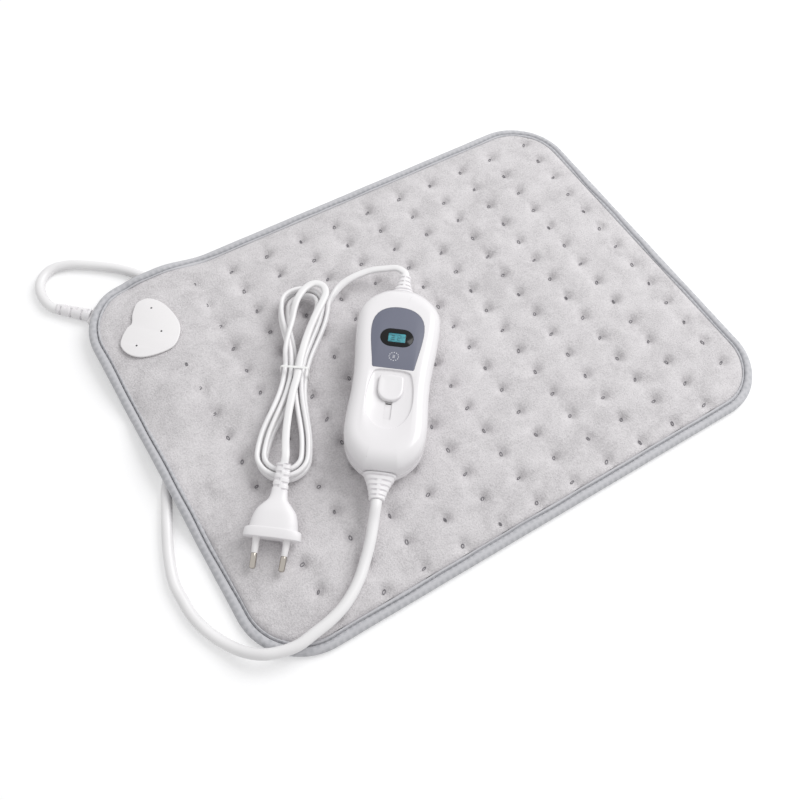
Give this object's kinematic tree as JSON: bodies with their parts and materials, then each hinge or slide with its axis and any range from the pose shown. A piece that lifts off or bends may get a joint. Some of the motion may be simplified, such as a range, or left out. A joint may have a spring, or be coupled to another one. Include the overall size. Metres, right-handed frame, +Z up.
{
  "type": "heating pad",
  "caption": "Rectangular plush electric heating pad with a bound edge, a corded slide controller with a display, a hank of mains cord and a flat two-pin plug.",
  "frame": {"origin": "middle of the pad's rectangle on the surface that the pad lies on", "axes": "+X along the pad's long side toward the end without the cord, +Y along its short side toward the connector corner's side, +Z up"},
  "size_m": [0.4254, 0.3442, 0.0415],
  "materials": {
    "plush": "short plush pile",
    "back_cloth": "brushed cloth",
    "binding": "woven binding tape",
    "silicone": "satin",
    "cord_jacket": "satin gloss",
    "white_plastic": "gloss",
    "soft_plastic": "satin",
    "dark_plastic": "matte",
    "label": "satin film",
    "black_gloss": "high gloss",
    "lit_display": "lit display",
    "board": "laminate",
    "fuse_glass": "clear",
    "steel": "bright zinc",
    "pin_metal": "nickel plated"
  },
  "bodies": {
    "pad_and_controller": {"plush_top_cover": "plush", "plush_back_cover": "back_cloth", "heater_carrier": "back_cloth", "edge_binding": "binding", "heating_wire": "silicone", "heater_lead_1": "cord_jacket", "heater_lead_2": "cord_jacket", "temperature_sensor_1": "dark_plastic", "temperature_sensor_2": "dark_plastic", "heart_plate": "white_plastic", "clamp_pin_1": "white_plastic", "clamp_pin_2": "white_plastic", "clamp_pin_3": "white_plastic", "connector_base": "white_plastic", "connector_cover": "white_plastic", "connector_terminal_block": "dark_plastic", "thermal_fuse": "fuse_glass", "pad_cord_inner_cores": "dark_plastic", "pad_strain_relief": "soft_plastic", "pad_cord": "cord_jacket", "controller_bottom_shell": "white_plastic", "controller_top_shell": "white_plastic", "display_label": "label", "display_window": "black_gloss", "display_module": "dark_plastic", "display_screen": "lit_display", "circuit_board": "board", "case_screw_1": "steel", "case_screw_2": "steel", "case_screw_3": "steel", "case_screw_4": "steel", "slide_switch_body": "dark_plastic", "mains_terminal_block": "dark_plastic", "pad_terminal_block": "dark_plastic", "fuse": "fuse_glass", "capacitor": "dark_plastic", "mains_cord_inner_cores": "dark_plastic", "controller_cord_inner_cores": "dark_plastic", "mains_strain_relief": "soft_plastic", "controller_pad_strain_relief": "soft_plastic", "mains_cord_lead": "cord_jacket", "mains_cord_hank": "cord_jacket", "mains_cord_tail": "cord_jacket", "cord_tie": "soft_plastic", "plug_body": "soft_plastic", "plug_pin_1": "pin_metal", "plug_pin_2": "pin_metal", "plug_pin_sleeve_1": "white_plastic", "plug_pin_sleeve_2": "white_plastic"},
    "slider": {"slide_knob": "white_plastic", "slide_carriage": "dark_plastic"}
  },
  "joints": [
    {"name": "slider_slide", "type": "slide", "parent": "pad_and_controller", "child": "slider", "axis": [-0.6129, -0.7902, 0], "range_m": [0, 0.018]}
  ]
}
